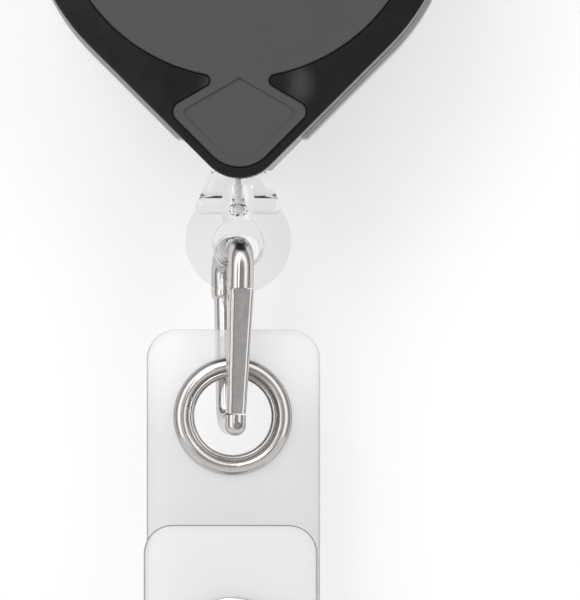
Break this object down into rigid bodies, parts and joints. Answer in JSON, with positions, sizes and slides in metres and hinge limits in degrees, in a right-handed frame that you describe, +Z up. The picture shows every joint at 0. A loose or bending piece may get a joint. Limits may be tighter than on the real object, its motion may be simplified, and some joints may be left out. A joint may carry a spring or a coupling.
{
  "type": "retractable badge reel",
  "caption": "Retractable badge reel with a carabiner-topped case, clear cord-end fitting, small metal hook and a frosted vinyl strap with grommet and snap.",
  "frame": {"origin": "on the spool axis, at the flat back face of the reel", "axes": "+Z up towards the carabiner along the hanging line; +Y out of the back face; the front faces -Y; +X to the right seen from the front"},
  "size_m": [0.039, 0.0128, 0.1428],
  "materials": {
    "case_black": "glossy injection-moulded black plastic",
    "shell_grey": "satin light grey moulded plastic",
    "plate_grey": "satin dark grey moulded plastic",
    "screw_steel": "zinc plated steel",
    "bush_steel": "polished steel eyelet",
    "pin_steel": "ground steel",
    "spring_steel": "blue-grey spring steel",
    "cord_nylon": "white braided nylon cord",
    "spool_white": "natural acetal",
    "clear_plastic": "water-clear moulded plastic",
    "nickel": "nickel plate",
    "frosted_vinyl": "frosted translucent flexible vinyl"
  },
  "bodies": {
    "housing": {"main_frame": "case_black", "rear_shell": "shell_grey", "face_plate": "plate_grey", "case_screws": "screw_steel", "outlet_bush": "bush_steel", "carabiner_gate_pin": "pin_steel", "carabiner_gate_spring": "spring_steel", "spool_axle": "pin_steel", "mainspring": "spring_steel", "cord_inner_run": "cord_nylon"},
    "carabiner_gate": {"carabiner_gate": "case_black"},
    "spool": {"spool": "spool_white", "spool_lid": "spool_white", "cord_winding": "cord_nylon"},
    "end_fitting": {"cord_lead": "cord_nylon", "cord_knot": "cord_nylon", "cord_end_fitting": "clear_plastic"},
    "hook": {"hook_body": "nickel"},
    "hook_gate": {"hook_gate": "nickel", "hook_gate_pin": "pin_steel", "hook_gate_spring": "spring_steel"},
    "strap": {"strap": "frosted_vinyl", "grommet_front": "nickel", "grommet_back": "nickel", "snap_stud": "nickel", "snap_post": "nickel"},
    "flap": {"strap_flap": "frosted_vinyl", "snap_cap": "nickel", "snap_socket": "nickel"}
  },
  "joints": [
    {"name": "carabiner_gate_open", "type": "hinge", "parent": "housing", "child": "carabiner_gate", "pos_m": [0.015, -0.00775, 0.0216], "axis": [0, -1, 0], "range_deg": [0, 25], "stiffness_Nm_per_rad": 0.02, "springref_deg": -28.65, "deforming": ["carabiner_gate_spring"]},
    {"name": "cord_pull", "type": "slide", "parent": "housing", "child": "end_fitting", "axis": [0, 0, -1], "range_m": [0, 0.61], "stiffness_N_per_m": 1, "springref_m": -1, "deforming": ["cord_lead"]},
    {"name": "spool_spin", "type": "hinge", "parent": "housing", "child": "spool", "pos_m": [0, -0.0055, 0], "axis": [0, 1, 0], "range_deg": [0, 2900]},
    {"name": "hook_swing", "type": "hinge", "parent": "end_fitting", "child": "hook", "pos_m": [-0.00066, -0.0055, -0.0317], "axis": [-0.225, 0.9744, 0], "range_deg": [-45, 45]},
    {"name": "hook_gate_open", "type": "hinge", "parent": "hook", "child": "hook_gate", "pos_m": [-0.00003, -0.00864, -0.0361], "axis": [0.9742, 0.2249, -0.0209], "range_deg": [0, 11], "stiffness_Nm_per_rad": 0.003, "springref_deg": -28.65, "deforming": ["hook_gate_spring"]},
    {"name": "strap_swing", "type": "hinge", "parent": "hook", "child": "strap", "pos_m": [-0.00084, -0.0046, -0.0475], "axis": [0, 1, 0], "range_deg": [-45, 45]},
    {"name": "flap_open", "type": "hinge", "parent": "strap", "child": "flap", "pos_m": [-0.001, -0.0068, -0.09045], "axis": [1, 0, 0], "range_deg": [0, 120]}
  ],
  "couplings": [
    {"joint": "spool_spin", "follows": "cord_pull", "rad_per_m": 82.6}
  ]
}
